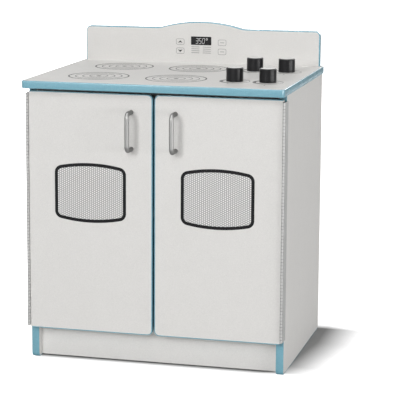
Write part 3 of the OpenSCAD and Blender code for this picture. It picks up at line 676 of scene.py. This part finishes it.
# Each bar runs between two corners of the digit, in shares of its width and height
BARS = {"top": ((0, 1), (1, 1)), "upper_right": ((1, 1), (1, 0.5)),
        "lower_right": ((1, 0.5), (1, 0)), "foot": ((0, 0), (1, 0)),
        "lower_left": ((0, 0.5), (0, 0)), "upper_left": ((0, 1), (0, 0.5)),
        "middle": ((0, 0.5), (1, 0.5))}
LIT = {"3": ("top", "upper_right", "middle", "lower_right", "foot"),
       "5": ("top", "upper_left", "middle", "lower_right", "foot"),
       "0": ("top", "upper_right", "lower_right", "foot", "lower_left", "upper_left")}


def prism(bm, outline, y_front, y_back):
    """Adds a flat outline of X and Z as a solid between two depths."""
    near = [bm.verts.new((x, y_front, z)) for x, z in outline]
    far = [bm.verts.new((x, y_back, z)) for x, z in outline]
    bm.faces.new(near)
    bm.faces.new(far[::-1])
    for i in range(len(outline)):
        j = (i + 1) % len(outline)
        bm.faces.new((near[j], near[i], far[i], far[j]))


def lit_bar(bm, start, end, y_front):
    """One bar with pointed ends, leaning to the right with its height."""
    start, end = Vector(start), Vector(end)
    along = (end - start).normalized()
    side = Vector((-along.y, along.x)) * DIGIT_BAR / 2
    tip, shoulder = along * DIGIT_GAP, along * (DIGIT_GAP + DIGIT_BAR / 2)
    outline = [start + tip, start + shoulder - side, end - shoulder - side,
               end - tip, end - shoulder + side, start + shoulder + side]
    foot = DISPLAY_FOOT + DIGIT_FOOT
    prism(bm, [(p.x + (p.y - foot) * DIGIT_SLANT, p.y) for p in outline],
          y_front, y_front + DIGIT_THICK)


display_low, display_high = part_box("control_display")
DISPLAY_LEFT = display_high.x - DISPLAY_W
DISPLAY_FOOT = display_high.z - DISPLAY_H


def display_number():
    """The digits and the degree sign, in front of the dark display."""
    bm = bmesh.new()
    y_front = display_low.y - DIGIT_THICK
    left, foot = DISPLAY_LEFT + DIGIT_START, DISPLAY_FOOT + DIGIT_FOOT
    for place, digit in enumerate(NUMBER):
        for bar in LIT[digit]:
            ends = [(left + place * DIGIT_PITCH + u * DIGIT_W, foot + v * DIGIT_H)
                    for u, v in BARS[bar]]
            lit_bar(bm, *ends, y_front)
    sign_left = left + len(NUMBER) * DIGIT_PITCH + SIGN_GAP
    corners = [(sign_left + u * SIGN_SIZE, foot + DIGIT_H - (1 - v) * SIGN_SIZE)
               for u, v in ((0, 0), (1, 0), (1, 1), (0, 1))]
    for i in range(4):
        lit_bar(bm, corners[i], corners[(i + 1) % 4], y_front)
    bmesh.ops.recalc_face_normals(bm, faces=bm.faces)
    piece = piece_from(bm, "display_number", LIT_INK)
    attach(piece, cad["control_display"]["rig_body"])


display_number()


# The oven windows' printed border and screen: the CAD's outline with softer corners and a
# wider line

WINDOW_LINE, WINDOW_CORNER_R, WINDOW_ARCH_R = 6.8 * MM, 16.0 * MM, 320.0 * MM
CORNER_STEPS, ARCH_STEPS = 10, 10


def arc(x, z, radius, start, end, steps):
    """Points of X and Z along an arc, without its last one."""
    angles = [start + (end - start) * i / steps for i in range(steps)]
    return [(x + radius * math.cos(a), z + radius * math.sin(a)) for a in angles]


def window_outline(middle, half, inset):
    """A window's outline of X and Z, drawn in by inset. Each quarter is a corner and half of
    the arched head or foot."""
    arch_z = half.z - WINDOW_ARCH_R
    corner_x = half.x - WINDOW_CORNER_R
    corner_z = arch_z + math.sqrt((WINDOW_ARCH_R - WINDOW_CORNER_R) ** 2 - corner_x ** 2)
    meet = math.atan2(corner_z - arch_z, corner_x)
    quarter = (arc(corner_x, corner_z, WINDOW_CORNER_R - inset, 0.0, meet, CORNER_STEPS)
               + arc(0.0, arch_z, WINDOW_ARCH_R - inset, meet, math.pi / 2, ARCH_STEPS))
    upper = quarter + [(0.0, half.z - inset)] + [(-x, z) for x, z in reversed(quarter)]
    return [(middle.x + x * turn, middle.z + z * turn) for turn in (1, -1) for x, z in upper]


def printed_piece(bm, node, material):
    """Replaces a CAD node's print by what a bmesh holds."""
    bmesh.ops.recalc_face_normals(bm, faces=bm.faces)
    piece = piece_from(bm, node + "_soft", material)
    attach(piece, cad[node]["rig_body"])
    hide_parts(node)


def soft_window(border, screen):
    """Replaces one window's border and screen, in the reach and at the depths of the CAD's."""
    low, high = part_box(border)
    middle, half = (low + high) / 2, (high - low) / 2
    outer = window_outline(middle, half, 0.0)
    inner = window_outline(middle, half, WINDOW_LINE)
    bm = bmesh.new()
    rings = [[bm.verts.new((x, y, z)) for x, z in outline] for outline, y in (
        (outer, low.y), (inner, low.y), (inner, high.y), (outer, high.y))]
    for near, far in zip(rings, rings[1:] + rings[:1]):
        for i in range(len(near)):
            j = (i + 1) % len(near)
            bm.faces.new((near[i], near[j], far[j], far[i]))
    printed_piece(bm, border, BLACK_FILM)
    low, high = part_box(screen)
    bm = bmesh.new()
    prism(bm, inner, low.y, high.y)
    printed_piece(bm, screen, DOTTED)


soft_window("left_window_border", "left_window_screen")
soft_window("right_window_border", "right_window_screen")


# Floor, light and camera

def light_path_pick(nodes, seen, unseen):
    """A shader that is seen for camera, glossy and transmission rays, and unseen for others."""
    path = nodes.add("ShaderNodeLightPath").outputs
    looks = nodes.math("MAXIMUM", path["Is Camera Ray"], path["Is Glossy Ray"])
    looks = nodes.math("MAXIMUM", looks, path["Is Transmission Ray"])
    return nodes.add("ShaderNodeMixShader", {0: looks, 1: unseen, 2: seen}).outputs[0]


AMBIENT = 0.05
world = bpy.data.worlds.new("studio")
scene.world = world
world.use_nodes = True
world_nodes = Nodes(world.node_tree)
white = world_nodes.add("ShaderNodeBackground", {"Color": (1, 1, 1, 1), "Strength": 1.0})
dim = world_nodes.add("ShaderNodeBackground", {"Color": (1, 1, 1, 1), "Strength": AMBIENT})
world_nodes.feed(world.node_tree.nodes["World Output"].inputs["Surface"],
                 light_path_pick(world_nodes, white.outputs[0], dim.outputs[0]))

FLOOR_HALF = 12.0
# The floor's colour for the camera and for bounced light. The darker seen colour is painted shade
# that deepens the shadow
FLOOR_SEEN, FLOOR_BOUNCE = 0.36, 0.6
# The painted shadow's right edge leans with the floor's Y up to the bend, and more before the
# front one
SHADOW_LEAN, SHADOW_BEND = 0.15, 0.102
FRONT_LEAN, FRONT_BEND = 0.5, -0.10
# Each glow rises from none to full between two values of one measure of the floor, and the four
# together leave out the place of the shadow. Where they rise, the glow paints the shadow's
# outline.
GLOWS = {"left": ("x", -0.266, -0.276), "right": ("leaning", 0.2795, 0.380),
         "front": ("y", -0.150, -0.174), "back": ("y", 0.225, 0.260)}


def studio_floor():
    """A white floor that glows for the camera all round, and leaves out the place of the
    object's shadow: under it and close to its right side. Where the glow fades in, it paints the
    shadow's outline. The camera sees the floor darker than the light it bounces, which is painted
    shade that deepens the shadow."""
    bm = bmesh.new()
    bmesh.ops.create_grid(bm, x_segments=1, y_segments=1, size=FLOOR_HALF)
    finish = Finish("white studio floor", Roughness=0.95, Specular_IOR_Level=0.1)
    seen = finish.add("ShaderNodeLightPath").outputs["Is Camera Ray"]
    finish.feed(finish.surface.inputs["Base Color"],
                finish.ramp(seen, 0.0, 1.0, FLOOR_BOUNCE, FLOOR_SEEN))
    where = finish.add("ShaderNodeTexCoord").outputs["Object"]
    along = finish.add("ShaderNodeSeparateXYZ", {0: where}).outputs
    lean = finish.math("MULTIPLY", finish.math("MINIMUM", along["Y"], SHADOW_BEND), SHADOW_LEAN)
    more = finish.math("MINIMUM", finish.math("SUBTRACT", along["Y"], FRONT_BEND), 0.0)
    lean = finish.math("ADD", lean, finish.math("MULTIPLY", more, FRONT_LEAN))
    measures = {"x": along["X"], "y": along["Y"],
                "leaning": finish.math("SUBTRACT", along["X"], lean)}
    spread = 0.0
    for measure, start, full in GLOWS.values():
        spread = finish.math("ADD", spread, finish.ramp(measures[measure], start, full))
    glow = finish.add("ShaderNodeEmission", {"Strength": finish.math("MULTIPLY", seen, spread)})
    both = finish.add("ShaderNodeAddShader", {0: finish.surface.outputs[0], 1: glow.outputs[0]})
    finish.feed(finish.tree.nodes["Material Output"].inputs["Surface"], both.outputs[0])
    piece_from(bm, "floor", finish.material)


# Azimuth and elevation in degrees, distance, width and height in metres, and power in watts.
# Azimuth 0 is in front, and positive is to the right
LAMPS = {"overhead": (-71, 84.5, 10.0, 1.8, 1.8, 410),
         "front_key": (-18, 17, 6.0, 1.0, 1.5, 98),
         "front_soft": (0, 28, 6.0, 3.0, 3.0, 141),
         "right_fill": (73, 2, 4.0, 3.4, 0.9, 70),
         "back_fill": (165, 20, 5.0, 2.0, 2.0, 50)}


def softbox(name, azimuth, elevation, away, width, height, power):
    """An area lamp that looks at the cabinet's middle."""
    target = (cad_low + cad_high) / 2
    a, e = math.radians(azimuth), math.radians(elevation)
    towards = Vector((math.sin(a) * math.cos(e), -math.cos(a) * math.cos(e), math.sin(e)))
    data = bpy.data.lights.new(name, "AREA")
    data.shape = "RECTANGLE"
    data.size, data.size_y, data.energy = width, height, power
    lamp = bpy.data.objects.new(name, data)
    lamp.matrix_world = (Matrix.Translation(target + towards * away)
                         @ towards.to_track_quat("Z", "Y").to_matrix().to_4x4())
    scene.collection.objects.link(lamp)


studio_floor()
for lamp_name, lamp_setting in LAMPS.items():
    softbox(lamp_name, *lamp_setting)

# The camera that the photograph's edges were fitted with
IMAGE_PX = 400
FOCAL_PX = 1755.3
SENSOR_MM = 36.0
CAMERA_PLACE = (0.9602, -3.6153, 1.0373)
CAMERA_YAW, CAMERA_PITCH, CAMERA_ROLL = 15.03, 10.13, 0.18
CAMERA_SHIFT = (0.07, -0.05)
camera_data = bpy.data.cameras.new("camera")
camera_data.sensor_width = SENSOR_MM
camera_data.lens = FOCAL_PX * SENSOR_MM / IMAGE_PX
camera_data.shift_x, camera_data.shift_y = CAMERA_SHIFT
camera_data.clip_end = 100.0
camera = bpy.data.objects.new("camera", camera_data)
camera.matrix_world = (Matrix.Translation(CAMERA_PLACE)
                       @ Matrix.Rotation(math.radians(CAMERA_YAW), 4, "Z")
                       @ Matrix.Rotation(math.radians(90 - CAMERA_PITCH), 4, "X")
                       @ Matrix.Rotation(math.radians(CAMERA_ROLL), 4, "Z"))
scene.collection.objects.link(camera)
scene.camera = camera
scene.view_settings.view_transform = "Standard"
